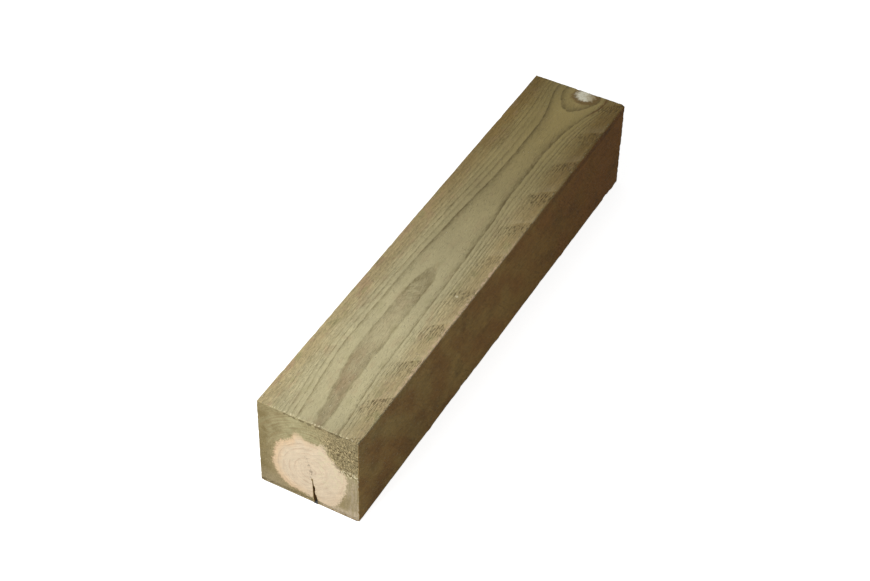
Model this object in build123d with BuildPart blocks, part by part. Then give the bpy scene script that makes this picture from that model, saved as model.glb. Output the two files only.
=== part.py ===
"""A square post of sawn, pressure-treated softwood, lying on its side.

The post is one piece of timber with the heart boxed in. It lies along Y, with its near end at -Y and its
far end at +Y. The origin is the middle of the underside, +Z is up, and every size is in millimetres.
"""

import os

from build123d import *

# The sawn section, and the length between the two end cuts.
post_width = 100.0
post_height = 100.0
post_length = 528.0

# Long edges are eased by handling, and the end cuts leave a finer edge.
arris_radius = 1.2
end_arris = 0.4

# The drying check opens in the underside at the near end and points at the pith.
# Along the post it narrows and gets shallower until it closes.
check_mouth = 3.6
check_depth = 30.0
check_reach = 190.0
check_mouth_offset = 6.2
check_tip_offset = 3.2
check_tip_width = 0.3

# The check's section at the near end and where it closes, as shares of its full size.
check_near_share = 1.0
check_tail_share = 0.06

# The check's right wall steps outwards where the fibres tore: heights as shares of the check's depth, and
# how far each point stands out beyond the straight wall, as shares of its mouth.
torn_wall_shares = [(0.22, 0.20), (0.45, -0.10), (0.66, 0.22), (0.74, -0.02)]

# How far the check's section runs past the underside that it opens.
overrun = 1.0

near_end = -post_length / 2


def check_outline(share):
    """The corners of the check's section, in X and Z, at a share of its full size.

    It shrinks towards the middle of its mouth, and goes straight down past the underside.
    """
    mouth_left = check_mouth_offset - share * check_mouth / 2
    mouth_right = check_mouth_offset + share * check_mouth / 2
    tip_middle = check_mouth_offset + share * (check_tip_offset - check_mouth_offset)
    tip_left = tip_middle - share * check_tip_width / 2
    tip_right = tip_middle + share * check_tip_width / 2
    tip_height = share * check_depth
    torn_wall = []
    for height_share, stand_out_share in torn_wall_shares:
        straight = mouth_right + height_share * (tip_right - mouth_right)
        stand_out = stand_out_share * share * check_mouth
        torn_wall.append((straight + stand_out, height_share * tip_height))
    return [
        (mouth_left, -overrun),
        (mouth_right, -overrun),
        (mouth_right, 0),
        *torn_wall,
        (tip_right, tip_height),
        (tip_left, tip_height),
        (mouth_left, 0),
    ]


# The sawn baulk, with its eased edges.
with BuildPart() as post:
    with BuildSketch(Plane.XZ.offset(-near_end)):
        with Locations((0, post_height / 2)):
            Rectangle(post_width, post_height)
    extrude(amount=-post_length)
    long_edges = post.edges().filter_by(Axis.Y)
    fillet(long_edges, radius=arris_radius)
    end_faces = post.faces().filter_by(Axis.Y)
    chamfer(end_faces.edges(), length=end_arris)

    # The drying check, cut from the near end's face to where it closes.
    for reach, share in ((0, check_near_share), (check_reach, check_tail_share)):
        with BuildSketch(Plane.XZ.offset(-near_end - reach)):
            with BuildLine():
                Polyline(*check_outline(share), close=True)
            make_face()
    loft(ruled=True, mode=Mode.SUBTRACT)

post.part.label = "post"

os.makedirs("parts", exist_ok=True)
export_step(post.part, "parts/post.step")
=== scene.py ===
"""Dresses the lying square post as sawn, pressure-treated softwood.

One growth-ring field runs through the whole post. The rings on its ends, the grain on its sides and the
relief of its surface are all cuts through that field, so they meet at every arris. Lengths in the fields
are millimetres: X across the post from its middle, Y along it from the near end, and Z up from the
underside.
"""

from math import cos, pi, radians, sin, tan

import bpy
from bpy.props import FloatProperty, FloatVectorProperty, IntProperty, PointerProperty
from bpy.types import Operator, Panel, PropertyGroup
from mathutils import Matrix, Vector


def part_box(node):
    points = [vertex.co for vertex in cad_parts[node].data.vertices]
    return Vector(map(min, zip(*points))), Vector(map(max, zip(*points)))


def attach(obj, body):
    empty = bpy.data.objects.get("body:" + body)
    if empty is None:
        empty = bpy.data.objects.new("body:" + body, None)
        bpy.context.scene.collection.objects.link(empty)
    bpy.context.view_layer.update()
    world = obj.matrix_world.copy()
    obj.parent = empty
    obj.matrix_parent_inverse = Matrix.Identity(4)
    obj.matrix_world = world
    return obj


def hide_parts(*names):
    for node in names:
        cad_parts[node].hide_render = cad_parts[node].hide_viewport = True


bl_info = {
    "name": "Treated Timber Post",
    "version": (1, 0, 0),
    "blender": (4, 5, 0),
    "location": "View3D > Sidebar > Timber Post",
    "description": "Dresses a square post as sawn, pressure-treated softwood",
    "category": "Object",
}

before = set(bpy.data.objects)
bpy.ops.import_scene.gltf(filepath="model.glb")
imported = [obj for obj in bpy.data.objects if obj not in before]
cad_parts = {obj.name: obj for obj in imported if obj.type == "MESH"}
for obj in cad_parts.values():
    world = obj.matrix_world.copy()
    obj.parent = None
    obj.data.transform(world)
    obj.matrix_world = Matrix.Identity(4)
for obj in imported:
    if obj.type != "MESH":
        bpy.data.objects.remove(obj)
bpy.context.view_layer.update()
post_low, post_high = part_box("post")
post_size = post_high - post_low

MM = 0.001
POST_MIDDLE = (post_low.x + post_high.x) / 2 / MM
POST_NEAR = post_low.y / MM
POST_LENGTH = post_size.y / MM
POST_TOP = post_high.z / MM
HALF_WIDTH = post_size.x / 2 / MM


def screen_colour(red, green, blue):
    """The linear colour that shows on screen as these levels from 0 to 255."""

    def linear(level):
        share = level / 255
        return share / 12.92 if share <= 0.04045 else ((share + 0.055) / 1.055) ** 2.4

    return linear(red), linear(green), linear(blue)


# The fields: numbers that vary over the timber, built from nodes


class Field:
    """A number that varies over the timber. Sums with it add the nodes that work them out."""

    def __init__(self, tree, socket):
        self.tree = tree
        self.socket = socket

    def work(self, operation, *others):
        node = self.tree.nodes.new("ShaderNodeMath")
        node.operation = operation
        for slot, value in zip(node.inputs, (self, *others)):
            feed(self.tree, slot, value)
        return Field(self.tree, node.outputs[0])

    def __add__(self, other):
        return self.work("ADD", other)

    def __sub__(self, other):
        return self.work("SUBTRACT", other)

    def __rsub__(self, other):
        return self.work("MULTIPLY_ADD", -1.0, other)

    def __mul__(self, other):
        return self.work("MULTIPLY", other)

    def __truediv__(self, other):
        return self.work("DIVIDE", other)

    def __pow__(self, power):
        return self.work("POWER", power)

    def __neg__(self):
        return self.work("MULTIPLY", -1.0)

    __radd__ = __add__

    def least(self, other):
        return self.work("MINIMUM", other)

    def most(self, other):
        return self.work("MAXIMUM", other)

    def size(self):
        return self.work("ABSOLUTE")

    def rise(self, low, high, smooth=True):
        """0 up to low, 1 from high on. With high under low it falls instead."""
        node = self.tree.nodes.new("ShaderNodeMapRange")
        node.interpolation_type = "SMOOTHSTEP" if smooth else "LINEAR"
        feed(self.tree, node.inputs["Value"], self)
        feed(self.tree, node.inputs["From Min"], low)
        feed(self.tree, node.inputs["From Max"], high)
        return Field(self.tree, node.outputs["Result"])

    def hump(self, middle, reach):
        """1 at the middle, falling to 0 at the reach on either side."""
        return (self - middle).size().rise(reach, 0)

    def along(self, points):
        """The height of a smooth curve through the points, each an input and an output."""
        inputs = [point[0] for point in points]
        outputs = [point[1] for point in points]
        low, high = min(outputs), max(outputs)
        node = self.tree.nodes.new("ShaderNodeFloatCurve")
        curve = node.mapping.curves[0]
        for _ in points[2:]:
            curve.points.new(0.5, 0.5)
        for knot, (start, end) in zip(curve.points, points):
            knot.location = (start - inputs[0]) / (inputs[-1] - inputs[0]), (end - low) / (high - low)
        node.mapping.update()
        share = self.rise(inputs[0], inputs[-1], smooth=False)
        feed(self.tree, node.inputs["Value"], share)
        return Field(self.tree, node.outputs["Value"]) * (high - low) + low


def feed(tree, slot, value):
    """Gives a node's input a field, a socket or a plain value."""
    if isinstance(value, Field):
        tree.links.new(value.socket, slot)
    elif isinstance(value, bpy.types.NodeSocket):
        tree.links.new(value, slot)
    elif hasattr(value, "__len__") and len(value) == 3 and slot.type == "RGBA":
        slot.default_value = (*value, 1.0)
    else:
        slot.default_value = value


def place_node(tree, kind, feeds=(), **settings):
    """Adds a node with its settings, and its inputs given by name."""
    node = tree.nodes.new(kind)
    for name, value in settings.items():
        setattr(node, name, value)
    for name, value in dict(feeds).items():
        feed(tree, node.inputs[name], value)
    return node


def length_of(*parts):
    """The length of the vector with these parts."""
    total = parts[0] * parts[0]
    for part in parts[1:]:
        total = total + part * part
    return total.work("SQRT")


def vector(tree, x, y, z):
    return place_node(tree, "ShaderNodeCombineXYZ", {"X": x, "Y": y, "Z": z}).outputs[0]


def scaled(point, grain_size, seed):
    """The point counted in grains of this size, moved by the seed so that no two textures are alike."""
    tree = point[0].tree
    x, y, z = (part / size for part, size in zip(point, grain_size))
    return vector(tree, x + seed, y, z)


def cloud(point, grain_size, seed, detail=2.0, rough=0.5):
    """Noise from 0 to 1, about 0.5 in the middle, whose lumps have this size along each axis."""
    tree = point[0].tree
    feeds = {"Vector": scaled(point, grain_size, seed), "Scale": 1.0, "Detail": detail, "Roughness": rough}
    return Field(tree, place_node(tree, "ShaderNodeTexNoise", feeds).outputs[0])


def vector_work(tree, operation, first, second):
    """A vector node's result. The second value is a vector, or the factor where it scales."""
    slot = "Scale" if operation == "SCALE" else 1
    return place_node(tree, "ShaderNodeVectorMath", {0: first, slot: second}, operation=operation).outputs[0]


def turned(first, second, angle):
    """Two coordinates seen along axes turned by this angle."""
    return first * cos(angle) + second * sin(angle), second * cos(angle) - first * sin(angle)


def parts_of(tree, place):
    """A place's three coordinates."""
    outputs = place_node(tree, "ShaderNodeSeparateXYZ", {0: place}).outputs
    return [Field(tree, output) for output in outputs]


def post_point(tree, place):
    """A place's millimetres across the post, along it from the near end, and up from the underside."""
    across, along, up = (part / MM for part in parts_of(tree, place))
    return across - POST_MIDDLE, along - POST_NEAR, up


# The growth of the tree, in millimetres

# How far right of the post's middle the pith lies. The two curves give, by the place along the post, how far
# right the rings are centred in the top face, and how deep under that face the pith lies.
PITH_ACROSS = 2.2
RING_MIDDLE = [
    (0, 9.8), (20, 8.2), (40, 6.0), (60, 3.8), (85, 2.0), (120, 0.6), (180, 0.0), (330, 0.2), (440, 1.5),
    (500, 3.4), (528, 3.4),
]
PITH_DEPTH = [
    (0, 61.05), (50, 60.6), (100, 60.35), (170, 60.4), (228, 61.05), (300, 62.0), (400, 63.2), (528, 63.3),
]

# How far the rings wander from true circles, in slow swells and in quick ripples.
SWELL_REACH = 1.0
RIPPLE_REACH = 0.5

# Eleven wide rings end at the tongue in the top face. One pale band follows, and then many narrow rings.
# These are wider on the left of the pith than on its right, and change over within this far of it.
INNER_RINGS = 11
TONGUE_RADIUS = 60.9
BAND_RADIUS = 64.2
LEFT_RING_WIDTH = 1.9
RIGHT_RING_WIDTH = 1.25
WIDTH_CHANGE = 12

# The branch that ends as a knot in the top face, by the far end. The rings lift towards it, further across
# the post than along it, and only from a little under the pith upwards.
KNOT_ACROSS = 9.0
KNOT_ALONG = 520.0
KNOT_ROOT_ALONG = 508.0
KNOT_LIFT = 8.0
KNOT_SPREAD = 25.0
KNOT_STRETCH = 0.5
KNOT_START = -8
KNOT_FULL = 12


def growth(x, y, z):
    """The tree's own measures at a point: ring radius, count of rings and place round the pith."""
    depth = y.along(PITH_DEPTH)
    above = z - (POST_TOP - depth)
    height_share = above / depth
    middle = (y.along(RING_MIDDLE) - PITH_ACROSS) * height_share + PITH_ACROSS
    aside = x - middle
    slow = cloud((x, y, z), (22, 70, 22), seed=3.1) - 0.5
    quick = cloud((x, y, z), (2.4, 7, 2.4), seed=7.7, detail=3) - 0.5
    radius = length_of(aside, above) + slow * SWELL_REACH + quick * RIPPLE_REACH

    branch = height_share.rise(0, 1, smooth=False)
    knot_x = x - (branch * (KNOT_ACROSS - PITH_ACROSS) + PITH_ACROSS)
    knot_y = y - (branch * (KNOT_ALONG - KNOT_ROOT_ALONG) + KNOT_ROOT_ALONG)
    far_off = length_of(knot_x * KNOT_STRETCH, knot_y)
    lift = (far_off / -KNOT_SPREAD).work("EXPONENT") * KNOT_LIFT
    radius = radius - lift * above.rise(KNOT_START, KNOT_FULL)

    inner = radius.least(TONGUE_RADIUS) * (INNER_RINGS / TONGUE_RADIUS)
    band = radius.rise(TONGUE_RADIUS, BAND_RADIUS, smooth=False)
    to_right = aside.rise(-WIDTH_CHANGE, WIDTH_CHANGE)
    ring_width = to_right * (RIGHT_RING_WIDTH - LEFT_RING_WIDTH) + LEFT_RING_WIDTH
    outer = (radius - BAND_RADIUS).most(0) / ring_width
    return {
        "radius": radius, "rings": inner + band + outer, "aside": aside, "above": above, "branch": branch,
        "turn": above.work("ARCTAN2", aside) * (180 / pi), "knot_x": knot_x, "knot_y": knot_y,
    }


# The torn patch under the near end's upper right corner: where its slanting edge runs through, its foot, how
# ragged its edges are, and the turn of its splinters.
TORN_CORNER = (17.0, 71.0)
TORN_FLOOR = 55.5
TORN_RAGGED = 18
FLOOR_RAGGED = 8
TORN_SLANT = radians(-52)


def torn_patch(x, z):
    """1 in the rough patch that the saw tore out of the near end, 0 outside it."""
    ragged = cloud((x, z, z), (4, 4, 9), seed=15.0, detail=3, rough=0.6) - 0.5
    slant = (x - TORN_CORNER[0]) + (z - TORN_CORNER[1]) + ragged * TORN_RAGGED
    above_foot = (z + ragged * FLOOR_RAGGED).rise(TORN_FLOOR - 2, TORN_FLOOR + 2)
    return slant.rise(-4, 8) * above_foot * (x + ragged * FLOOR_RAGGED).rise(5, 27)


# The saw's strokes cross the top's right side and the right face. They lie one pitch apart. The one with the
# number 0 meets a line along the post, STROKE_SIDE right of its middle, at STROKE_FIRST. Each leans further
# along the post by STROKE_LEAN for a millimetre to the right.
STROKE_PITCH = 52.0
STROKE_FIRST = 45.0
STROKE_SIDE = 28.0
STROKE_LEAN = 0.76

# How hard each stroke tore the wood, by its number.
STROKE_FORCE = [
    (-3, 0.4), (-2, 0.6), (-1, 0.78), (0, 0.6), (1, 0.75), (2, 0.65), (3, 0.2), (4, 0.6), (5, 0.95),
    (6, 0.8), (7, 0.45), (8, 0.6), (9, 0.3), (10, 0.5),
]

# One bead of dried resin on the top face: how far across the post from its middle and how far along it, and
# how far it reaches.
RESIN_BEAD = (36, 197)
BEAD_REACH = (1.8, 0.9)


def saw_stroke(x, y, z):
    """How far a point lies from one saw stroke to the next, from 0 to 1, and how hard that stroke tore."""
    down = POST_TOP - z
    count = (y - (x - STROKE_SIDE) * STROKE_LEAN - down - STROKE_FIRST) / STROKE_PITCH
    number = count.work("FLOOR")
    return count - number, number.along(STROKE_FORCE)


# The post's mesh

DISTANCE = "NodeSocketFloat"
MESH_INPUTS = {
    "Cells Across": "NodeSocketInt", "Cells Along": "NodeSocketInt", "Arris Wear": DISTANCE,
    "End Wear": DISTANCE, "Saw Relief": DISTANCE, "Torn Relief": DISTANCE, "Check Mouth": DISTANCE,
    "Check Depth": DISTANCE, "Check Reach": DISTANCE, "Fibre Length": DISTANCE,
    "Timber": "NodeSocketMaterial",
}

# How strongly the mesh's cells crowd towards the arrises.
CELL_SPREAD = 1.4

# Splinters that keep the worn lower right arris full: how far along the post they lie, and their reach.
SPLINTERS = (126, 260, 397, 516)
SPLINTER_REACH = 7.0

# Millimetres by which the top right arris is worn further towards the far end.
FAR_WEAR = 1.8

# The drying check's cells, its middle at its mouth and at its tip, its width there, and the share of its
# size that is left where it ends. Its right wall stands out at some heights: each row is a share of the
# check's depth, and a share of its mouth.
CHECK_CELLS = (2, 110, 34)
CHECK_MIDDLE = 6.2
CHECK_TIP = 3.2
CHECK_TIP_WIDTH = 0.3
CHECK_TAIL_SHARE = 0.06
TORN_WALL = [(0, 0.0), (0.22, 0.20), (0.45, -0.10), (0.66, 0.22), (0.74, -0.02), (1, 0.0)]

# How far the check's void runs past the near end and the underside, and how ragged its two walls are.
OVERRUN = 1
LEFT_WALL_RAGGED = 0.5
RIGHT_WALL_RAGGED = 1.4

# A torn fibre's radius at its root, its bend as a share of its length, and its least and largest scale.
FIBRE_RADIUS = 0.13 * MM
FIBRE_BEND = 0.35
FIBRE_SIZES = (0.35, 1.2)

# Edges that fold by more than this are shown sharp.
SHARP_FOLD = radians(40)


def spread_cells(unit):
    """Moves a coordinate from -1 to 1 outwards, so that the cells are finest at the edges."""
    return (1 - (1 - unit.size()).most(0) ** CELL_SPREAD) * unit.work("SIGN")


def mesh_place(tree):
    """The place of each point of the mesh."""
    return place_node(tree, "GeometryNodeInputPosition").outputs[0]


def set_position(tree, mesh, position=None, offset=None, selection=None):
    feeds = {"Geometry": mesh}
    for name, value in (("Position", position), ("Offset", offset), ("Selection", selection)):
        if value is not None:
            feeds[name] = value
    return place_node(tree, "GeometryNodeSetPosition", feeds).outputs[0]


def store(tree, mesh, name, value):
    feeds = {"Geometry": mesh, "Name": name, "Value": value}
    kind = {"data_type": "FLOAT", "domain": "POINT"}
    return place_node(tree, "GeometryNodeStoreNamedAttribute", feeds, **kind).outputs[0]


def unit_block(tree, cells_x, cells_y, cells_z):
    """A block from -1 to 1, and its own coordinates."""
    feeds = {"Size": (2, 2, 2), "Vertices X": cells_x, "Vertices Y": cells_y, "Vertices Z": cells_z}
    block = place_node(tree, "GeometryNodeMeshCube", feeds).outputs["Mesh"]
    return block, parts_of(tree, mesh_place(tree))


def back_to_metres(tree, x, y, z):
    return vector(tree, (x + POST_MIDDLE) * MM, (y + POST_NEAR) * MM, z * MM)


def full_arris(x, y, z):
    """1 where a splinter keeps the lower right arris full, 0 elsewhere."""
    near_arris = (HALF_WIDTH - x + z).rise(9, 3)
    return sum(y.hump(place, SPLINTER_REACH) for place in SPLINTERS) * near_arris


def worn_baulk(tree, inputs):
    """The square baulk with worn arrises, as a fine mesh."""
    across, along = inputs["Cells Across"] + 1, inputs["Cells Along"] + 1
    block, (u, v, w) = unit_block(tree, across, along, across)
    block = store(tree, block, "end_grain", v.size().rise(0.9998, 0.9999, smooth=False))
    x = spread_cells(u) * HALF_WIDTH
    y = (spread_cells(v) + 1) * (POST_LENGTH / 2)
    z = (spread_cells(w) + 1) * (POST_TOP / 2)
    shaped = set_position(tree, block, position=back_to_metres(tree, x, y, z))

    x, y, z = post_point(tree, mesh_place(tree))
    height = z - POST_TOP / 2
    corner = (x.work("SIGN") * 3, y, height.work("SIGN") * 3)
    uneven = cloud(corner, (1, 24, 1), seed=11.0, detail=3)
    far_wear = y.rise(250, 430) * x.rise(0, 1) * height.rise(0, 1) * FAR_WEAR
    wear = inputs["Arris Wear"] / MM * (uneven * 1.6 + 0.2) + far_wear
    wear = wear * (1 - full_arris(x, y, z))
    parts = []
    for part, half in ((x, HALF_WIDTH), (height, POST_TOP / 2)):
        flat = half - wear
        kept = part.least(flat).most(-flat)
        parts.append((kept, part - kept))
    (kept_x, over_x), (kept_z, over_z) = parts
    pull = over_x.size().most(over_z.size()) / length_of(over_x, over_z).most(0.001)

    bite = cloud((x, y, z), (5, 300, 5), seed=4.0, detail=3, rough=0.6)
    end_wear = inputs["End Wear"] / MM * (bite.rise(0.4, 0.72) * 2.4 + 0.4)
    short = (end_wear - y.least(POST_LENGTH - y)).most(0)
    inset = end_wear - (end_wear * end_wear - short * short).most(0).work("SQRT")
    shrink = 1 - inset / HALF_WIDTH
    round_x = (kept_x + over_x * pull) * shrink
    round_z = (kept_z + over_z * pull) * shrink + POST_TOP / 2
    return set_position(tree, shaped, position=back_to_metres(tree, round_x, y, round_z))


def surface_depth(tree, inputs, end_grain):
    """How deep the surface lies under the flat of each face, in millimetres."""
    x, y, z = point = post_point(tree, mesh_place(tree))
    saw = inputs["Saw Relief"] / MM
    fuzz = cloud(point, (3.2, 30, 3.2), seed=21.0, detail=2)
    hollows = cloud(point, (24, 110, 24), seed=2.0)
    stroke, force = saw_stroke(x, y, z)
    stroke_share = x.rise(22, 40) * (force * 0.7 + 0.3)
    uneven = (fuzz - 0.3).most(0) * 0.7 + (hollows - 0.3).most(0) * 0.9
    side = saw * (uneven + stroke * stroke * stroke_share * 0.8)

    arris = ((HALF_WIDTH - x.size()) + z.least(POST_TOP - z)).rise(3.5, 0.5)
    nicked = cloud(point, (4, 13, 4), seed=8.0, detail=1).rise(0.62, 0.76) * arris
    side = (side + nicked * (x.rise(-1, 1) * 0.3 + 0.3)) * (1 - full_arris(x, y, z))

    torn = torn_patch(x, z) * y.rise(30, 10)
    slant_x, slant_z = turned(x, z, TORN_SLANT)
    pits = cloud((slant_x, y, slant_z), (4.5, 9, 1.9), seed=5.0, detail=3, rough=0.65)
    lower_edge = z.rise(5, 1) * y.rise(30, 10)
    rough_end = cloud(point, (2.6, 9, 2.6), seed=14.0, detail=3, rough=0.6)
    end = rough_end * (0.3 + lower_edge * 1.4) + torn * pits.rise(0.38, 0.66) * (inputs["Torn Relief"] / MM)
    return side + (end - side) * end_grain


def check_cutter(tree, inputs):
    """The void of the drying check: one straight wall and one torn one, closing along the post."""
    block, (u, v, w) = unit_block(tree, *CHECK_CELLS)
    mouth, depth, reach = (inputs[name] / MM for name in ("Check Mouth", "Check Depth", "Check Reach"))
    y = (v + 1) / 2 * (reach + OVERRUN) - OVERRUN
    share = 1 - (y / reach).rise(0, 1, smooth=False) * (1 - CHECK_TAIL_SHARE)
    tip_height = share * depth
    z = (w + 1) / 2 * (tip_height + OVERRUN) - OVERRUN
    height = (z / tip_height).rise(0, 1, smooth=False)
    half_mouth, half_tip = share * mouth / 2, share * (CHECK_TIP_WIDTH / 2)
    middle = height * share * (CHECK_TIP - CHECK_MIDDLE) + CHECK_MIDDLE
    half = half_mouth + (half_tip - half_mouth) * height
    torn = height.along(TORN_WALL) * share * mouth
    ragged = (cloud((u, y, z), (1, 16, 3), seed=6.0, detail=3, rough=0.6) - 0.5) * share
    left = middle - half + ragged * LEFT_WALL_RAGGED
    right = middle + half + torn + ragged * RIGHT_WALL_RAGGED
    x = left + (right - left) * ((u + 1) / 2)
    cutter = set_position(tree, block, position=back_to_metres(tree, x, y, z))
    return store(tree, cutter, "check_wall", 1.0)


def fibre_spike(tree, inputs):
    """One torn fibre: a thin, bent spike along Z."""
    length = inputs["Fibre Length"]
    feeds = {
        "Vertices": 4, "Side Segments": 4, "Radius Top": 0.0, "Radius Bottom": FIBRE_RADIUS, "Depth": length,
    }
    spike = place_node(tree, "GeometryNodeMeshCone", feeds).outputs["Mesh"]
    up = parts_of(tree, mesh_place(tree))[2] / length
    bend = vector(tree, up * up * length * FIBRE_BEND, 0.0, 0.0)
    spike = set_position(tree, spike, offset=bend)
    return store(tree, spike, "fibre", 1.0)


def scatter_fibres(tree, mesh, spike, where, per_square_metre, turn_low, turn_high, seed):
    """Lays fibres on the chosen part of the mesh, each turned between the two limits."""
    feeds = {"Mesh": mesh, "Selection": where, "Density": per_square_metre, "Seed": seed}
    points = place_node(tree, "GeometryNodeDistributePointsOnFaces", feeds).outputs["Points"]
    # A Random Value node has a vector's limits in inputs 0 and 1, and a number's in 2 and 3.
    turn = place_node(tree, "FunctionNodeRandomValue", {"Seed": seed + 1}, data_type="FLOAT_VECTOR")
    feed(tree, turn.inputs[0], turn_low)
    feed(tree, turn.inputs[1], turn_high)
    size = place_node(tree, "FunctionNodeRandomValue", {"Seed": seed + 2}, data_type="FLOAT")
    feed(tree, size.inputs[2], FIBRE_SIZES[0])
    feed(tree, size.inputs[3], FIBRE_SIZES[1])
    feeds = {"Points": points, "Instance": spike, "Rotation": turn.outputs[0], "Scale": size.outputs[1]}
    return place_node(tree, "GeometryNodeInstanceOnPoints", feeds).outputs[0]


def add_fibres(tree, inputs, timber):
    """The timber with the fibres that were torn up along its edges and at the torn patch."""
    x, y, z = post_point(tree, mesh_place(tree))
    spike = fibre_spike(tree, inputs)
    near_cut = y.rise(1.6, 1.5)
    top_edge = near_cut * z.rise(96.5, 96.6)
    low_edge = near_cut * z.rise(3.5, 3.4)
    right_arris = x.rise(48.0, 48.1) * z.rise(97.8, 97.9) * y.rise(230, 150)
    patch_foot = near_cut * x.rise(28, 34) * (z - TORN_FLOOR).size().rise(4, 2)

    # Fibres lie along the post or across its end, within these turns. Each row says where they grow, how
    # many to the square metre, how they lie, and their seed.
    along_post = (radians(-100), radians(-20), radians(-35)), (radians(-80), radians(20), radians(35))
    across_end = (radians(-15), radians(-80), 0.0), (radians(15), radians(80), 0.0)
    rows = (
        (top_edge, 90000, along_post, 31),
        (low_edge, 30000, across_end, 41),
        (right_arris, 120000, along_post, 51),
        (patch_foot, 120000, across_end, 61),
    )
    join = tree.nodes.new("GeometryNodeJoinGeometry")
    for where, density, turns, seed in rows:
        chosen = where.work("GREATER_THAN", 0.5)
        fibres = scatter_fibres(tree, timber, spike, chosen, density, *turns, seed)
        tree.links.new(fibres, join.inputs[0])
    tree.links.new(timber, join.inputs[0])
    return join.outputs[0]


def shade_mesh(tree, mesh):
    """Shows the faces smooth, and the edges sharp where they fold."""
    mesh = place_node(tree, "GeometryNodeSetShadeSmooth", {"Geometry": mesh}, domain="FACE").outputs[0]
    fold = Field(tree, place_node(tree, "GeometryNodeInputMeshEdgeAngle").outputs["Unsigned Angle"])
    feeds = {"Geometry": mesh, "Selection": fold.work("GREATER_THAN", SHARP_FOLD), "Shade Smooth": False}
    return place_node(tree, "GeometryNodeSetShadeSmooth", feeds, domain="EDGE").outputs[0]


def build_mesh_tree():
    """The tree that makes the whole post: baulk, relief, check and torn fibres."""
    tree = bpy.data.node_groups.new("sawn_post", "GeometryNodeTree")
    tree.is_modifier = True
    for name, kind in MESH_INPUTS.items():
        tree.interface.new_socket(name=name, in_out="INPUT", socket_type=kind)
    tree.interface.new_socket(name="Post", in_out="OUTPUT", socket_type="NodeSocketGeometry")
    entry = tree.nodes.new("NodeGroupInput")
    inputs = {name: Field(tree, entry.outputs[name]) for name in MESH_INPUTS}

    baulk = worn_baulk(tree, inputs)
    feeds = {"Name": "end_grain"}
    end_grain = place_node(tree, "GeometryNodeInputNamedAttribute", feeds, data_type="FLOAT")
    depth = surface_depth(tree, inputs, Field(tree, end_grain.outputs["Attribute"]))
    normal = place_node(tree, "GeometryNodeInputNormal").outputs[0]
    baulk = set_position(tree, baulk, offset=vector_work(tree, "SCALE", normal, -depth * MM))

    cut = place_node(tree, "GeometryNodeMeshBoolean", operation="DIFFERENCE", solver="MANIFOLD")
    tree.links.new(baulk, cut.inputs["Mesh 1"])
    tree.links.new(check_cutter(tree, inputs), cut.inputs["Mesh 2"])

    whole = add_fibres(tree, inputs, cut.outputs["Mesh"])
    whole = place_node(tree, "GeometryNodeRealizeInstances", {"Geometry": whole}).outputs[0]
    held = vector_work(tree, "MAXIMUM", mesh_place(tree), post_low)
    whole = set_position(tree, whole, position=vector_work(tree, "MINIMUM", held, post_high))
    feeds = {"Geometry": shade_mesh(tree, whole), "Material": inputs["Timber"]}
    whole = place_node(tree, "GeometryNodeSetMaterial", feeds).outputs[0]
    leave = tree.nodes.new("NodeGroupOutput")
    tree.links.new(whole, leave.inputs["Post"])
    return tree


# The timber's material

TIMBER_ROUGHNESS = 0.88
TIMBER_GLOSS = 0.2


class Coat:
    """A colour that varies over the timber. Tints and other coats are laid over it, each to its share."""

    def __init__(self, tree, tints, tint):
        self.tree = tree
        self.tints = tints
        self.colour = tints[tint]

    def lay(self, share, over):
        """Lays a tint, given by its name, or another coat over this one."""
        node = self.tree.nodes.new("ShaderNodeMix")
        node.data_type = "RGBA"
        over = over.colour if isinstance(over, Coat) else self.tints[over]
        # Input 0 of a Mix node is its factor, and 6 and 7 are its two colours.
        for slot, value in ((0, share), (6, self.colour), (7, over)):
            feed(self.tree, node.inputs[slot], value)
        self.colour = node.outputs[2]
        return self

    def brighten(self, factor):
        self.colour = vector_work(self.tree, "SCALE", self.colour, factor)
        return self


def attribute(tree, name):
    return Field(tree, place_node(tree, "ShaderNodeAttribute", attribute_name=name).outputs["Fac"])


# The millimetres over which the sides change into the top face, the top face into its right part, and the
# near colours into the far ones.
TOP_FACE = (97.6, 99.3)
RIGHT_PART = (22, 44)
FAR_PART = (110, 500)

# How far the saw's marks and the patches on the right face lean along the post for each millimetre down.
MARK_LEAN = 0.9
PATCH_LEAN = 0.5

# Places in the top face where a ring line is stained darker: across the post, and along it.
HEAVY_DASHES = [(19, 255), (-19, 276), (15, 330)]

# How far the loose fibres on the top face lie turned from the grain.
LOOSE_TURN = radians(-17)


class SidePlace:
    """A point of the sides, and the measures of it that their coats share.

    They say how far down and how wide of the middle it lies, and how much it belongs to the top face, to the
    top's right part, to the far part and to the left side, which is hidden.
    """

    def __init__(self, point):
        x, y, z = self.point = point
        self.down = POST_TOP - z
        self.wide = x.size()
        self.top = z.rise(*TOP_FACE)
        self.right = x.rise(*RIGHT_PART)
        self.far = y.rise(*FAR_PART)
        self.hidden = x.rise(30, -30) * (1 - self.top)
        self.lean = (x, y - self.down * MARK_LEAN, self.down)
        self.patchy = cloud(point, (11, 34, 11), seed=18.0, detail=4, rough=0.6)


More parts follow.
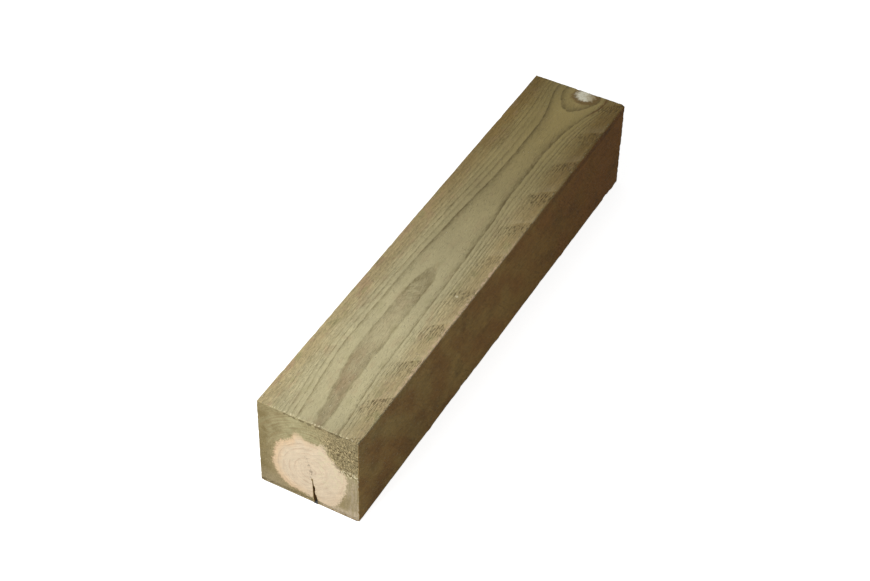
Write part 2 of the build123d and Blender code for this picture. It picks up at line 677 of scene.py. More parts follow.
def top_face_coat(tree, tints, side):
    """The top face between its rings: greenish in the middle and browner along its edges."""
    x = side.point[0]
    face = Coat(tree, tints, "near_face").lay(side.far, "far_face")
    band = Coat(tree, tints, "near_band").lay(side.far, "far_band")
    band_share = (side.wide + (side.patchy - 0.5) * 17 + x.rise(0, 40) * 3).rise(25, 47)
    face.lay(band_share, band)
    rosy = cloud(side.point, (8, 20, 8), seed=19.0, detail=3).rise(0.53, 0.66) * (band_share * 0.42 + 0.20)
    face.lay(rosy * (1 - side.far * 0.65) * (1 - side.right * 0.6), "tongue")
    mossy = cloud(side.point, (9, 24, 9), seed=20.0, detail=3).rise(0.55, 0.70) * (band_share * 0.42 + 0.23)
    return face.lay(mossy * (1 - side.far * 0.7), "moss")


def side_face_coat(tree, tints, side):
    """The side faces: brown, with russet and damp patches, and painted shade under the right arris."""
    x, y, z = side.point
    down = side.down
    face = Coat(tree, tints, "near_side").lay(y.rise(150, 520), "far_side")
    mossy = z.rise(30, 90) * y.rise(160, 20)
    face.lay(mossy * 0.25, "moss")
    leaning = (x, y - down * PATCH_LEAN, down)
    russet = cloud(leaning, (60, 34, 46), seed=23.0, detail=4, rough=0.55).rise(0.36, 0.66)
    face.lay(russet * 0.62, "russet")
    damp = cloud(leaning, (40, 42, 34), seed=24.6, detail=4, rough=0.6)
    damp = damp.rise(0.50, 0.72).most(y.hump(96, 46) * z.hump(34, 44) * damp.rise(0.30, 0.52))
    clots = cloud(side.lean, (5, 4, 8), seed=25.0, detail=3, rough=0.6)
    # Painted shade: a darker band on the right face just under the top arris, whole towards the far end and
    # patchy nearer.
    shade_under_arris = down.hump(6, 6) * (y.rise(280, 380) + clots.rise(0.45, 0.65) * 0.6).least(1) * x.rise(0, 1)
    shade = mossy * 0.12 - damp * 0.30 - shade_under_arris * 0.32 + (clots - 0.5) * 0.5 + y.hump(310, 200) * 0.11
    return face.brighten(shade + 1.04)


def late_wood(grown, y):
    """How much of a ring's dark summer wood shows: 1 at the outer edge of each ring."""
    radius, rings = grown["radius"], grown["rings"]
    phase = rings.work("FRACT")
    in_band = radius.rise(TONGUE_RADIUS - 0.01, TONGUE_RADIUS + 0.01, smooth=False)
    in_outer = radius.rise(BAND_RADIUS - 0.01, BAND_RADIUS + 0.01, smooth=False)
    steepness = 15 - in_band * (10.4 - y.rise(170, 100) * 3.4) - in_outer * 0.7
    steepness = steepness - y.rise(450, 480) * (1 - in_band) * (1 - in_outer) * 10
    tone = cloud((rings, y, grown["turn"]), (1.3, 170, 60), seed=27.0, detail=1).rise(0.3, 0.7)
    fade = 1 - in_outer * (1 - radius.rise(80, 68) * (tone * 0.6 + 0.2))
    blurred = phase.rise(in_band * 0.07 + in_outer * 0.13 + 0.001, 0)
    share = fade.most(blurred * radius.rise(BAND_RADIUS + 1, BAND_RADIUS))
    return (phase ** steepness).most(blurred) * share


def tongue_edge(grown):
    """1 at the outline of the tongue in the top face's grain, 0 away from it."""
    return grown["radius"].hump(TONGUE_RADIUS, 1.2)


def lay_rings(tree, tints, side, grown, face):
    """Lays the tongue and the rings' summer wood over the sides. Returns the shares of both."""
    x, y, z = side.point
    tongue = grown["radius"].rise(TONGUE_RADIUS + 0.1, TONGUE_RADIUS - 0.3) * side.top * y.rise(460, 440)
    face.lay(tongue * (y.rise(140, 40) * 0.36 + 0.08) * (side.patchy.rise(0.36, 0.62) + 0.5), "tongue")

    blots = cloud(side.point, (3.0, 10, 3.0), seed=17.0, detail=3, rough=0.6).rise(0.32, 0.66)
    darker = y.rise(200, 300) * (y.rise(502, 476) * 0.6 + 0.4)
    for place_x, place_y in HEAVY_DASHES:
        darker = darker + length_of((x - place_x) / 5, (y - place_y) / 9).rise(1.2, 0.3) * 2.4
    strength = blots * 0.45 + darker * 0.22 + side.wide.rise(20, 30) * 0.12 + 0.30
    soft_edge = tongue_edge(grown) * (y.hump(226, 26) * 0.7).most(y.rise(200, 140) * 0.3)
    shown = side.top * 0.84 + side.hidden * 0.6 + 0.14
    late = late_wood(grown, y) * strength * shown * (1 - soft_edge)
    cross_grain = cloud((x - y * 0.9, y + x, z), (3.2, 13, 9), seed=28.0, detail=3, rough=0.6)
    tip = tongue * (y.hump(184, 26) * cross_grain.rise(0.36, 0.68) * 0.38 + y.hump(210, 24) * 0.20)
    ring_tint = Coat(tree, tints, "latewood").brighten(1 - side.far * 0.32)
    face.lay((late + tip).least(0.76), ring_tint)
    return tongue, late


def shade_grain(side, tongue, face):
    """Shades the sides along the grain and where they were handled. Returns the grain's relief."""
    x, y, _ = side.point
    wide, far = side.wide, side.far
    streaks = cloud(side.point, (1.5, 26, 1.5), seed=9.0, detail=4, rough=0.66)
    wool = cloud(side.point, (0.8, 5.0, 0.8), seed=10.0, detail=3, rough=0.66)
    blotches = cloud(side.point, (24, 60, 24), seed=12.0, detail=3)
    rough_share = wide.rise(18, 32) * (far * 0.5 + 0.65) + x.rise(-16, -26) * y.rise(300, 100) * 0.44 + 0.31
    rough_share = rough_share + x.rise(18, 30) * y.hump(165, 130) * 0.30
    level = ((streaks - 0.5) * 0.62 + (wool - 0.5) * 0.85) * rough_share + (blotches - 0.5) * 0.40 + 1.03
    handled = y.hump(112, 100) * 0.08 - y.rise(46, 0) * 0.09 - y.rise(480, 520) * x.rise(0, -30) * 0.09
    handled = handled + wide.rise(18, 36) * y.hump(274, 104) * 0.13
    handled = handled + x.hump(2, 25) * y.rise(330, 500) * 0.21
    handled = handled - tongue * y.rise(130, 85) * 0.09 - side.right * y.rise(140, 70) * 0.06
    face.brighten(level + handled * side.top)
    return streaks * 0.45 + wool * 0.45


def lay_strokes(side, grown, face):
    """Lays the saw's strokes: torn before each one ends, paler just after it. Returns the dashes."""
    x, y, z = side.point
    top, far = side.top, side.far
    stroke, force = saw_stroke(x, y, z)
    on_ring = (grown["rings"].work("FRACT") - 0.5) * 0.16
    torn = cloud(side.lean, (0.9, 2.6, 8.0), seed=33.0, detail=2) * (1 - top)
    torn = torn + (cloud(side.point, (1.05, 6.5, 1.05), seed=34.0, detail=2) + on_ring) * top
    wander = (cloud(side.point, (5, 8, 5), seed=36.0, detail=3) - 0.5) * 0.5
    softer = y.rise(90, 240)
    at_stroke = stroke + wander * (softer * 0.4 + 0.12)
    stroke_end = at_stroke.rise(1.0, 0.975 - softer * 0.05) * x.rise(23, 37)
    before = (stroke + wander).rise(0.42, 0.90) * stroke_end * (force * 0.7 + 0.3) * (top * 0.75 + 0.25)
    last_row = at_stroke.rise(0.90, 0.97) * stroke_end * force * force * x.rise(29, 42)
    last_row = last_row * (1 - softer * 0.5) * top
    dots = cloud(side.point, (0.95, 2.4, 0.95), seed=39.0, detail=1).rise(0.48, 0.60)
    dashes = torn.rise(0.56, 0.70) * 0.27 + torn.rise(0.52, 0.64) * before * (far * 0.25 + 1)
    dashes = dashes + dots * last_row * 0.7
    face.lay(before * (side.patchy.rise(0.3, 0.6) * 0.07 + 0.02), "russet")
    face.lay(dashes.least(1.2) * 0.56, "dirt")
    after = stroke.rise(0.34, 0.02) * side.right * top * force * side.patchy.rise(0.30, 0.55)
    face.lay(after * 0.16, "fibre")
    return dashes


def lay_loose_fibres(side, face):
    """Lays short pale fibres, most of them by the near end and the arrises, where they also stand for
    painted highlight. Returns their share.
    """
    x, y, z = side.point
    top, right = side.top, side.right
    across, along = turned(x, y, LOOSE_TURN)
    loose = cloud((across, along, z), (0.9, 5.0, 0.9), seed=35.0, detail=2).rise(0.60, 0.72)
    arris = (HALF_WIDTH - side.wide + side.down).rise(5.0, 1.2)
    tatters = cloud(side.point, (1.2, 3.6, 1.2), seed=37.0, detail=2).rise(0.46, 0.56)
    # The pale band along the right arris is partly torn wool and partly painted highlight, where the edge
    # catches the light.
    frayed = arris * right * y.rise(40, 90) * y.rise(330, 220) * (tatters * 0.90 + 0.06)
    face.lay(frayed * top, "frayed")
    face.lay(loose * (y.rise(260, 20) * 0.32 + arris * 0.45 + 0.14), "fibre")
    tufts = cloud(side.point, (1.7, 4, 4), seed=38.0, detail=2).rise(0.55, 0.62) * y.rise(3.2, 1.4)
    face.lay(tufts * x.rise(-40, -34) * top * 0.7, "fibre")
    return loose


def side_coat(tree, tints, point, grown):
    """The treated sides' coat, and their relief in millimetres."""
    x, y, _ = point
    side = SidePlace(point)
    top_face = top_face_coat(tree, tints, side)
    face = side_face_coat(tree, tints, side).lay(side.hidden * 0.75, top_face).lay(side.top, top_face)
    tongue, late = lay_rings(tree, tints, side, grown, face)
    grain = shade_grain(side, tongue, face)
    dashes = lay_strokes(side, grown, face)
    loose = lay_loose_fibres(side, face)
    bead = length_of(x - RESIN_BEAD[0], y - RESIN_BEAD[1]).rise(*BEAD_REACH) * side.top
    face.lay(bead * 0.95, "fibre")
    face.brighten(1 - y.rise(270, 480) * side.right * side.top * 0.17)
    return face, grain - dashes * 0.5 - late * 0.10 + loose * 0.3


# The knot's white crust: its reach in millimetres, and how far across the post it is drawn out.
CRUST_REACH = (9.6, 5.8)
CRUST_STRETCH = 0.80

# The dark crease where the grain parts to the right of the knot: X at each place along the post.
CREASE_LINE = [(484, 23.0), (492, 25.2), (500, 27.8), (507, 29.6), (515, 30.8), (528, 31.2)]


def lay_knot(tree, tints, point, grown, timber):
    """Lays the knot over the timber: dark wood round a white crust of dried resin, and the crease."""
    x, y, z = point
    top = z.rise(99.0, 99.6)
    ragged = cloud(point, (3.4, 3.4, 3.4), seed=71.0, detail=3) - 0.5
    off_x, off_y = grown["knot_x"], grown["knot_y"]
    crust_reach = length_of(off_x * CRUST_STRETCH, off_y - 0.4) + ragged * 9
    border = length_of(off_x * CRUST_STRETCH - 0.8, off_y * 0.86) + ragged * 7
    timber.lay(border.rise(13.5, 9.6) * grown["branch"].rise(0.1, 0.9) * 0.66, "knot")
    crease = (x - y.along(CREASE_LINE) + ragged * 3).hump(0, 2.4) * y.rise(486, 504) * top
    timber.lay(crease * 0.75, "knot")
    mottle = cloud(point, (2.6, 2.6, 2.6), seed=72.0, detail=4, rough=0.6)
    thick = (mottle.rise(0.30, 0.56) * 0.6 + 0.4) * (off_x * 0.07 + off_y * 0.03).rise(0.7, -0.1)
    crust = Coat(tree, tints, "crust_shade").lay(thick, "crust")
    timber.lay(crust_reach.rise(*CRUST_REACH) * top, crust)


# The heartwood's outline on an end: its distance from the pith at each angle round it, in degrees.
HEART_OUTLINE = [
    (-180, 37.5), (-160, 39.5), (-135, 38.6), (-112, 34.0), (-100, 33.0), (-78, 34.8), (-60, 39.8),
    (-45, 38.6), (-25, 35.6), (0, 35.6), (14, 37.0), (26, 36.8), (38, 34.6), (50, 34.4), (62, 35.5),
    (71, 44.0), (78, 38.0), (90, 37.0), (101, 40.2), (108, 44.0), (117, 38.0), (130, 36.6), (145, 38.4),
    (160, 38.0), (180, 37.5),
]

# A hairline crack that carries on from the check past the pith: X at each height.
CRACK_LINE = [(29, 3.1), (34, 2.9), (40, 2.0), (47, 0.2), (57, -3.0)]

# The turn of the scratches that the cross-cut left on the near end.
SCRATCH_TURN = radians(32)


def heart_coat(tree, tints, point, grown, inside):
    """The untreated heartwood: pale, with a warmer rim. Returns the share of its ring lines too."""
    x, y, z = point
    aside = grown["aside"]
    shown = cloud(point, (10, 30, 10), seed=50.0, detail=2).rise(0.38, 0.60)
    ring_line = grown["rings"].work("FRACT") ** 5 * (shown * 0.9 + 0.1) * (aside.rise(16, -12) * 0.4 + 0.6)
    tone = cloud((grown["radius"], grown["turn"], y), (1.5, 30, 90), seed=52.0, detail=3, rough=0.6)
    rim = inside.rise(12, 0.5) * (aside.rise(8, -22) * 0.5 + 0.2)
    wood = Coat(tree, tints, "heartwood").lay(rim, "heart_rim")
    wood.lay((ring_line * 0.62 + tone.rise(0.48, 0.70) * 0.28).least(1), "heart_ring")
    wood.brighten((cloud(point, (7, 30, 7), seed=53.0, detail=3) - 0.5) * 0.30 + 1.0)
    bleached = cloud(point, (5, 20, 5), seed=65.0, detail=3).rise(0.48, 0.60)
    wood.lay(bleached * x.rise(4, 14) * z.rise(20, 40) * 0.5, "fibre")
    wood.lay(z.rise(72, 80) * 0.4, "sapwood_green")
    return wood, ring_line


def sap_coat(tree, tints, point, grown):
    """The treated sapwood: pale green and tan streaks above, duller and browner below and at the left."""
    x, y, z = point
    streak = cloud((grown["radius"], grown["turn"], y), (1.7, 26, 90), seed=54.0, detail=2, rough=0.55)
    green = (streak.rise(0.30, 0.70) * 0.8 + x.hump(-8, 26) * 0.35).least(1) * z.rise(20, 75)
    sap = Coat(tree, tints, "sapwood_tan").lay(green, "sapwood_green")
    dull = cloud(point, (9, 20, 9), seed=55.0, detail=4, rough=0.6).rise(0.40, 0.68)
    dull = dull * (x.rise(20, -20) * 0.45 + 0.1) + x.rise(-36, -48) * 0.5 + x.rise(-24, -36) * 0.14
    sap.lay(dull.least(1), "sapwood_dull")
    rosy = cloud(point, (2.5, 20, 14), seed=60.0, detail=3).rise(0.35, 0.60)
    low_right = (x.rise(34, 42) * z.rise(56, 46)).most(z.rise(12, 4) * x.rise(8, 16))
    low_left = z.rise(24, 6) * x.rise(-14, -34) * 0.22
    sap.lay(low_right * (rosy * 0.5 + z.rise(14, 6) * 0.4 + 0.1) + low_left, "sapwood_grey")
    return sap.brighten(1 + z.rise(16, 4) * x.rise(8, 20) * 0.16)


def lay_torn_patch(point, near, face):
    """Lays the torn patch's pits and splinters, painted shadow along its lower edge, and white splinters at
    its foot with painted shade between them. Returns its relief.
    """
    x, y, z = point
    torn = torn_patch(x, z) * near
    brim = torn * (1 - torn)
    slant_x, slant_z = turned(x, z, TORN_SLANT)
    pits = cloud((slant_x, y, slant_z), (3.0, 9, 1.05), seed=5.0, detail=4, rough=0.75)
    deep = torn * (z.rise(98, 82) * 0.5 + 0.5)
    face.lay(torn * 0.66, "sapwood_tan")
    # Painted shadow under the patch's lower edge, laid in the dirt tint.
    face.lay(brim * z.rise(66, 58) * 2.2, "dirt")
    face.lay(deep * pits.rise(0.49, 0.60) * 0.95, "dirt")
    face.lay(deep * (pits - brim * 0.16).rise(0.47, 0.39) * 0.96, "splinter")
    scuffed = x.rise(-14, 0) * z.rise(76, 86) * (1 - torn) * near
    face.lay(scuffed * pits.rise(0.46, 0.60) * 0.40, "dirt")
    face.brighten(scuffed * 0.09 + 1)
    foot = x.rise(27, 34) * z.hump(TORN_FLOOR, 6) * near
    splinters = cloud((slant_x, y, slant_z), (2.8, 9, 1.6), seed=56.0, detail=2)
    # Painted shade in the gaps between the white splinters at the foot, laid in the dirt tint.
    face.lay(foot * splinters.rise(0.48, 0.38) * 0.5, "dirt")
    face.lay(foot * splinters.rise(0.50, 0.57) * 0.95, "fibre")
    return torn * pits * 1.3


def lay_ragged_edges(point, near, face):
    """Lays the stained hem at the near end's foot, and painted shade in the break under its upper edge.
    Returns the hem.
    """
    x, _, z = point
    uneven = (cloud(point, (3.0, 9, 3.0), seed=57.0, detail=4, rough=0.6) - 0.5) * 12
    hem = (z + uneven).rise(4.0, 1.2) * near
    face.lay(hem * (x.rise(24, 8) * 0.28 + 0.20), "dirt")
    shreds = cloud(point, (1.3, 9, 1.3), seed=63.0, detail=2).rise(0.54, 0.64) * z.rise(6, 2)
    face.lay(shreds * x.hump(4, 40) * near * 0.5, "fibre")
    broken_out = cloud(point, (4.0, 9, 3.4), seed=62.0, detail=3).rise(0.38, 0.52)
    drop = (cloud(point, (7, 9, 90), seed=66.0, detail=3) - 0.5) * 10
    shade_under_lip = (z + drop).rise(96.8, 98.0) * (z - drop).rise(100.5, 98.6) * broken_out * near
    # Painted shade: the break under the upper edge, where the top's fuzz overhangs the end, is darkened with
    # the dirt tint.
    face.lay(shade_under_lip * x.rise(-36, -24) * x.rise(38, 28) * 0.60, "dirt")
    return hem


def lay_crack(point, near, grown, face):
    """Lays the hairline crack, the stains along it and the pith."""
    x, _, z = point
    on_crack = z.rise(29, 31) * z.rise(60, 55) * near
    broken = cloud(point, (2.4, 9, 3.4), seed=58.0, detail=2)
    off_crack = x - z.along(CRACK_LINE) + (broken - 0.5) * 2.4
    hair = off_crack.hump(0, 0.9) * broken.rise(0.40, 0.6) * 0.35
    stains = off_crack.hump(0, 3.2) * broken.rise(0.52, 0.66) * 0.6
    face.lay(((hair + stains) * on_crack).least(0.8), "stain")
    face.lay(length_of(grown["aside"], grown["above"]).rise(2.6, 0.8) * 0.5, "stain")


def end_coat(tree, tints, point, grown):
    """The cut ends' coat, and their relief in millimetres."""
    x, y, z = point
    near = y.rise(40, 20)
    above = grown["above"]
    ragged = (cloud(point, (2.2, 12, 2.2), seed=51.0, detail=5, rough=0.7) - 0.5) * 13
    heart_turn = above.work("ARCTAN2", x - PITH_ACROSS) * (180 / pi)
    inside = heart_turn.along(HEART_OUTLINE) + ragged - length_of(x - PITH_ACROSS, above)
    heart = inside.rise(-2.0, 2.2)
    wood, ring_line = heart_coat(tree, tints, point, grown, inside)
    face = sap_coat(tree, tints, point, grown).lay(heart, wood)
    torn_relief = lay_torn_patch(point, near, face)
    hem = lay_ragged_edges(point, near, face)
    lay_crack(point, near, grown, face)

    # Scratches from the cut run up to the right.
    scratch_x, scratch_z = turned(x, z, SCRATCH_TURN)
    scratches = cloud((scratch_x, y, scratch_z), (24, 9, 0.9), seed=59.0, detail=3, rough=0.6)
    grit = cloud(point, (1.3, 9, 1.3), seed=61.0, detail=4, rough=0.7)
    lumps = (cloud(point, (1.5, 9, 2.2), seed=67.0, detail=1) - 0.5) * (1 - heart) * z.rise(66, 50)
    texture = (grit - 0.5) * 0.65 * (1.3 - heart * 0.7) + (scratches - 0.5) * 0.34 + lumps * 0.60
    face.brighten(texture + 1.02)
    return face, grit * 0.45 + scratches * 0.3 - ring_line * 0.1 - torn_relief - hem * 0.3


def build_timber_material(tints):
    """The sawn, treated softwood: its sides, cut ends and knot, the check's walls and the torn fibres."""
    material = bpy.data.materials.new("sawn_treated_softwood")
    material.use_nodes = True
    tree = material.node_tree
    shader = tree.nodes["Principled BSDF"]
    place = tree.nodes.new("ShaderNodeTexCoord").outputs["Object"]
    point = post_point(tree, place)
    grown = growth(*point)
    timber, side_relief = side_coat(tree, tints, point, grown)
    end, end_relief = end_coat(tree, tints, point, grown)
    end_grain = attribute(tree, "end_grain").rise(0.35, 0.75)
    timber.lay(end_grain, end)
    lay_knot(tree, tints, point, grown, timber)
    timber.lay(attribute(tree, "check_wall") * 0.8, "russet")
    timber.lay(attribute(tree, "fibre") * 0.8, "fibre")
    tree.links.new(timber.colour, shader.inputs["Base Color"])

    relief = side_relief + (end_relief - side_relief) * end_grain
    bump = place_node(tree, "ShaderNodeBump", {"Height": relief, "Distance": MM})
    tree.links.new(bump.outputs["Normal"], shader.inputs["Normal"])
    shader.inputs["Roughness"].default_value = TIMBER_ROUGHNESS
    shader.inputs["Specular IOR Level"].default_value = TIMBER_GLOSS
    return material


# The settings that a user would change


def size_setting(name, description, default, high, low=0.0):
    """A length, given in millimetres with its limits."""
    limits = {"default": default * MM, "min": low * MM, "max": high * MM}
    return FloatProperty(name=name, description=description, unit="LENGTH", precision=5, **limits)


def colour_setting(name, description, *levels):
    """A colour, given by its levels on screen."""
    kind = {"subtype": "COLOR", "size": 3, "min": 0, "max": 1}
    return FloatVectorProperty(name=name, description=description, default=screen_colour(*levels), **kind)


class TimberSizes(PropertyGroup):
    cells_across: IntProperty(
        name="Cells Across", description="Mesh cells across each face", default=88, min=12, max=160,
    )
    cells_along: IntProperty(
        name="Cells Along", description="Mesh cells along the post", default=190, min=12, max=300,
    )
    arris_wear: size_setting("Arris Wear", "Radius to which the long edges are worn", 1.0, 6, 0.2)
    end_wear: size_setting("End Wear", "How far the edges of the end cuts are broken back", 0.7, 3)
    saw_relief: size_setting("Saw Relief", "Depth of the marks that the saw left on the sides", 0.3, 2)
    torn_relief: size_setting("Torn Relief", "Depth of the torn patch on the near end", 0.9, 3)
    check_mouth: size_setting("Check Mouth", "Width of the drying check at the underside", 3.6, 8)
    check_depth: size_setting("Check Depth", "How deep the check runs at the near end", 30, 45)
    check_reach: size_setting("Check Reach", "How far the check runs along the post", 190, 400)
    fibre_length: size_setting("Fibre Length", "Length of the torn fibres at the arrises", 3.2, 12)


class TimberColours(PropertyGroup):
    near_face: colour_setting("Near Face", "Middle of the top face by the near end", 190, 180, 141)
    far_face: colour_setting("Far Face", "Middle of the top face by the far end", 156, 139, 90)
    near_band: colour_setting("Near Band", "Browner edges of the top face by the near end", 180, 163, 121)
    far_band: colour_setting("Far Band", "Browner edges of the top face by the far end", 138, 114, 66)
    near_side: colour_setting("Near Side", "Side faces by the near end", 162, 132, 77)
    far_side: colour_setting("Far Side", "Side faces by the far end", 116, 80, 32)
    # Frayed edge: pale wool along the arris, which also serves as painted highlight on the edge.
    frayed: colour_setting("Frayed Edge", "Paler, rosier wool along the arris", 212, 184, 150)
    russet: colour_setting("Russet", "Reddish patches and the tail of each saw stroke", 132, 90, 47)
    moss: colour_setting("Moss", "Greener patches in the treated faces", 150, 144, 100)
    latewood: colour_setting("Latewood", "Dense summer wood of each ring", 112, 98, 62)
    tongue: colour_setting("Tongue", "Rosy wood inside the tongue in the top face's grain", 168, 140, 108)
    fibre: colour_setting("Fibre", "Torn fibres and bright flecks", 230, 218, 180)
    splinter: colour_setting("Splinter", "Bare splinters in the torn patch", 228, 206, 156)
    # Dirt: dark dashes, pits and the hem, and also painted shade under the near end's upper edge and along
    # the torn patch's foot.
    dirt: colour_setting("Dirt", "Dark dashes and pits", 84, 70, 40)
    heartwood: colour_setting("Heartwood", "Untreated wood in the middle of an end", 229, 210, 181)
    heart_rim: colour_setting("Heartwood Rim", "Warmer rim of the untreated wood", 231, 197, 154)
    heart_ring: colour_setting("Heart Ring", "Summer wood of the rings in the heartwood", 198, 166, 136)
    sapwood_green: colour_setting("Green Sapwood", "Paler treated streaks on an end", 180, 172, 131)
    sapwood_tan: colour_setting("Tan Sapwood", "Browner treated streaks on an end", 158, 142, 104)
    sapwood_dull: colour_setting("Dull Sapwood", "Duller treated patches on an end", 134, 119, 80)
    sapwood_grey: colour_setting("Grey Sapwood", "Greyer treated wood low on the right", 190, 174, 147)
    stain: colour_setting("Stain", "Grey stain at the pith and along the crack", 112, 92, 72)
    knot: colour_setting("Knot", "Dark wood of the knot", 104, 76, 42)
    crust: colour_setting("Crust", "White crust of dried resin on the knot", 244, 240, 216)
    crust_shade: colour_setting("Crust Shade", "Thinner places in the crust", 184, 168, 130)


def angle_setting(name, description, degrees):
    return FloatProperty(name=name, description=description, default=radians(degrees), unit="ROTATION")


class StageSettings(PropertyGroup):
    azimuth: angle_setting("Azimuth", "Camera's way round the post, from before its near end", 27.787)
    elevation: angle_setting("Elevation", "Camera's angle above the floor", 43.236)
    roll: angle_setting("Roll", "Camera's turn about its own view", 1.511)
    view_angle: angle_setting("View Angle", "Width of the camera's view", 25.853)
    key_power: FloatProperty(name="Key Power", description="Main lamp's power", default=9.5, unit="POWER")
    sky_level: FloatProperty(name="Sky Level", description="Light from all round", default=0.32)


# The stage: floor, sky, lamp and camera, in metres

SENSOR_WIDTH_MM = 36.0
CAMERA_EYE = Vector((0.5932, -1.1663, 1.2653))
KEY_PLACE = Vector((-0.26, -0.86, 0.72))
KEY_AIM = Vector((0.0, -0.05, 0.05))
KEY_WIDTH = 0.6
FLOOR_SIDE = 12.0
FLOOR_GAP = 0.0002

# The floor's own glow, its level to the eye, and the level by which it lights the post.
FLOOR_GLOW = 0.83
FLOOR_SEEN = 0.6
FLOOR_GIVEN = 0.35

# In millimetres, how far in from the post's sides the floor under it is painted dark as shade, and how far
# the check's painted shade reaches out of its mouth, within this far of its middle.
UNDER_EDGE = 1.8
MOUTH_SHADE = 0.5
MOUTH_REACH = (3.2, 1.8)
UNDER_SHADE = 0.85


def aimed(place, aim):
    """The matrix of a lamp at a place that shines at another."""
    return Matrix.Translation(place) @ (aim - place).to_track_quat("-Z", "Y").to_matrix().to_4x4()


def add_object(scene, name, data, matrix=None):
    item = bpy.data.objects.new(name, data)
    scene.collection.objects.link(item)
    if matrix is not None:
        item.matrix_world = matrix
    return item


def seen_directly(tree):
    """1 for rays that show the floor or the sky to the eye, or in gloss and glass."""
    path = tree.nodes.new("ShaderNodeLightPath")
    seen = Field(tree, path.outputs["Is Camera Ray"])
    for ray in ("Is Glossy Ray", "Is Transmission Ray"):
        seen = seen.most(path.outputs[ray])
    return seen


def floor_material():
    """White with a pale shadow to the eye, painted dark as shade under the post and before the check's
    mouth, and sending little light back.
    """
    material = bpy.data.materials.new("pale_floor")
    material.use_nodes = True
    tree = material.node_tree
    tree.nodes.clear()
    x, y, _ = post_point(tree, tree.nodes.new("ShaderNodeTexCoord").outputs["Object"])
    # Painted shade: under the post and just before the check's mouth, the floor loses its glow and is darker
    # to the eye.
    before_mouth = (x - CHECK_MIDDLE).size().rise(*MOUTH_REACH) * MOUTH_SHADE
    inside = (HALF_WIDTH - UNDER_EDGE - x.size()).least(POST_LENGTH - y)
    under = inside.least(y + before_mouth).rise(0.2, 0.6)
    glow_level = (1 - under) * FLOOR_GLOW
    glow = place_node(tree, "ShaderNodeEmission", {"Color": (1, 1, 1), "Strength": glow_level}).outputs[0]
    seen_level = (1 - under * UNDER_SHADE) * FLOOR_SEEN
    seen = place_node(tree, "ShaderNodeBsdfDiffuse", {"Color": seen_level}).outputs[0]
    given = place_node(tree, "ShaderNodeBsdfDiffuse", {"Color": (FLOOR_GIVEN,) * 3}).outputs[0]
    both = place_node(tree, "ShaderNodeAddShader", {0: glow, 1: seen}).outputs[0]
    mix = place_node(tree, "ShaderNodeMixShader", {0: seen_directly(tree), 1: given, 2: both}).outputs[0]
    place_node(tree, "ShaderNodeOutputMaterial", {"Surface": mix})
    return material


def light_sky(scene, level):
    """A sky that lights evenly at this level and shows white."""
    world = bpy.data.worlds.new("studio_sky")
    world.use_nodes = True
    scene.world = world
    tree = world.node_tree
    strength = seen_directly(tree) * (1 - level) + level
    feed(tree, tree.nodes["Background"].inputs["Strength"], strength)
    feed(tree, tree.nodes["Background"].inputs["Color"], (1, 1, 1))


class POST_OT_build_stage(Operator):
    """Sets the white floor, the soft lamp, the sky and the camera"""

    bl_idname = "timber_post.build_stage"
    bl_label = "Build Stage"

    def execute(self, context):
        scene = context.scene
        stage = scene.post_stage
        scene.view_settings.view_transform = "Standard"

        camera_data = bpy.data.cameras.new("camera")
        camera_data.sensor_width = SENSOR_WIDTH_MM
        camera_data.lens = SENSOR_WIDTH_MM / (2 * tan(stage.view_angle / 2))
        turn = Matrix.Rotation(stage.azimuth, 4, "Z") @ Matrix.Rotation(pi / 2 - stage.elevation, 4, "X")
        matrix = Matrix.Translation(CAMERA_EYE) @ turn @ Matrix.Rotation(stage.roll, 4, "Z")
        scene.camera = add_object(scene, "camera", camera_data, matrix)

        key = bpy.data.lights.new("key_lamp", "AREA")
        key.size = KEY_WIDTH
        key.energy = stage.key_power
        lamp = add_object(scene, "key_lamp", key, aimed(KEY_PLACE, KEY_AIM))
        lamp.visible_camera = False
        light_sky(scene, stage.sky_level)

        half = FLOOR_SIDE / 2
        corners = [(-half, -half), (half, -half), (half, half), (-half, half)]
        floor_mesh = bpy.data.meshes.new("floor")
        floor_mesh.from_pydata([(x, y, post_low.z - FLOOR_GAP) for x, y in corners], [], [(0, 1, 2, 3)])
        floor_mesh.materials.append(floor_material())
        add_object(scene, "floor", floor_mesh)
        return {"FINISHED"}


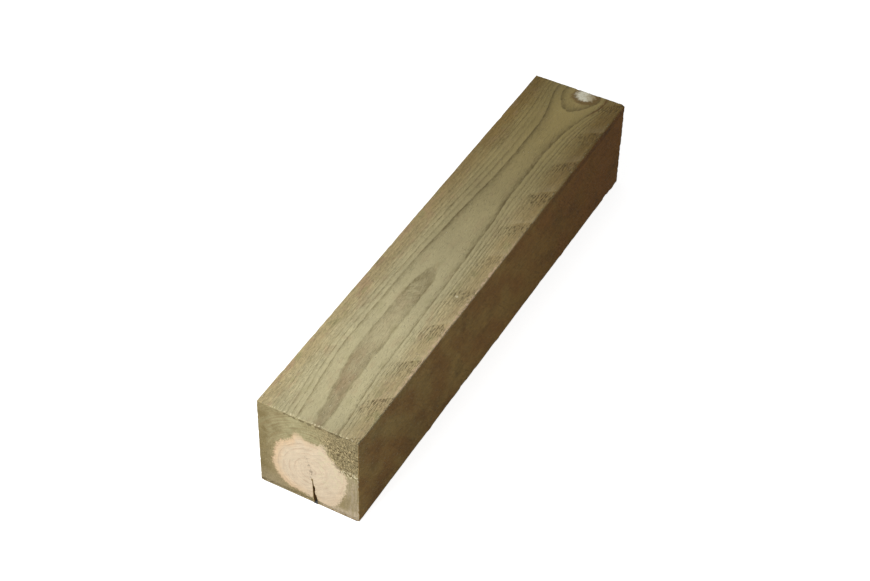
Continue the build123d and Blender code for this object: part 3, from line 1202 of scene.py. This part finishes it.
class POST_OT_build_timber(Operator):
    """Makes the sawn timber over its solid"""

    bl_idname = "timber_post.build_timber"
    bl_label = "Build Timber"

    def execute(self, context):
        scene = context.scene
        sizes, colours = scene.post_sizes, scene.post_colours
        tints = {name: tuple(getattr(colours, name)) for name in colours.__annotations__}
        tree = build_mesh_tree()
        timber = add_object(scene, "post_timber", bpy.data.meshes.new("post_timber"))
        modifier = timber.modifiers.new("sawn_post", "NODES")
        modifier.node_group = tree
        values = {name: getattr(sizes, name.lower().replace(" ", "_"), None) for name in MESH_INPUTS}
        values["Timber"] = build_timber_material(tints)
        for socket in tree.interface.items_tree:
            if socket.in_out == "INPUT":
                modifier[socket.identifier] = values[socket.name]
        context.view_layer.update()
        solved = timber.evaluated_get(context.evaluated_depsgraph_get())
        mesh = bpy.data.meshes.new_from_object(solved)
        if not mesh.polygons:
            raise RuntimeError("the post's tree made no mesh")
        timber.modifiers.remove(modifier)
        timber.data = mesh
        mesh.name = "post_timber"
        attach(timber, "root")
        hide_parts("post")
        return {"FINISHED"}


class POST_PT_sidebar(Panel):
    bl_label = "Timber Post"
    bl_idname = "POST_PT_sidebar"
    bl_space_type = "VIEW_3D"
    bl_region_type = "UI"
    bl_category = "Timber Post"

    def draw(self, context):
        layout = self.layout
        for settings in (context.scene.post_sizes, context.scene.post_colours, context.scene.post_stage):
            column = layout.column()
            for name in settings.__annotations__:
                column.prop(settings, name)
        layout.operator(POST_OT_build_timber.bl_idname)
        layout.operator(POST_OT_build_stage.bl_idname)


CLASSES = (
    TimberSizes, TimberColours, StageSettings, POST_OT_build_timber, POST_OT_build_stage, POST_PT_sidebar,
)


def register():
    for item in CLASSES:
        bpy.utils.register_class(item)
    bpy.types.Scene.post_sizes = PointerProperty(type=TimberSizes)
    bpy.types.Scene.post_colours = PointerProperty(type=TimberColours)
    bpy.types.Scene.post_stage = PointerProperty(type=StageSettings)


def unregister():
    for name in ("post_sizes", "post_colours", "post_stage"):
        delattr(bpy.types.Scene, name)
    for item in reversed(CLASSES):
        bpy.utils.unregister_class(item)


def main():
    register()
    bpy.ops.timber_post.build_timber()
    bpy.ops.timber_post.build_stage()


if __name__ == "__main__":
    main()
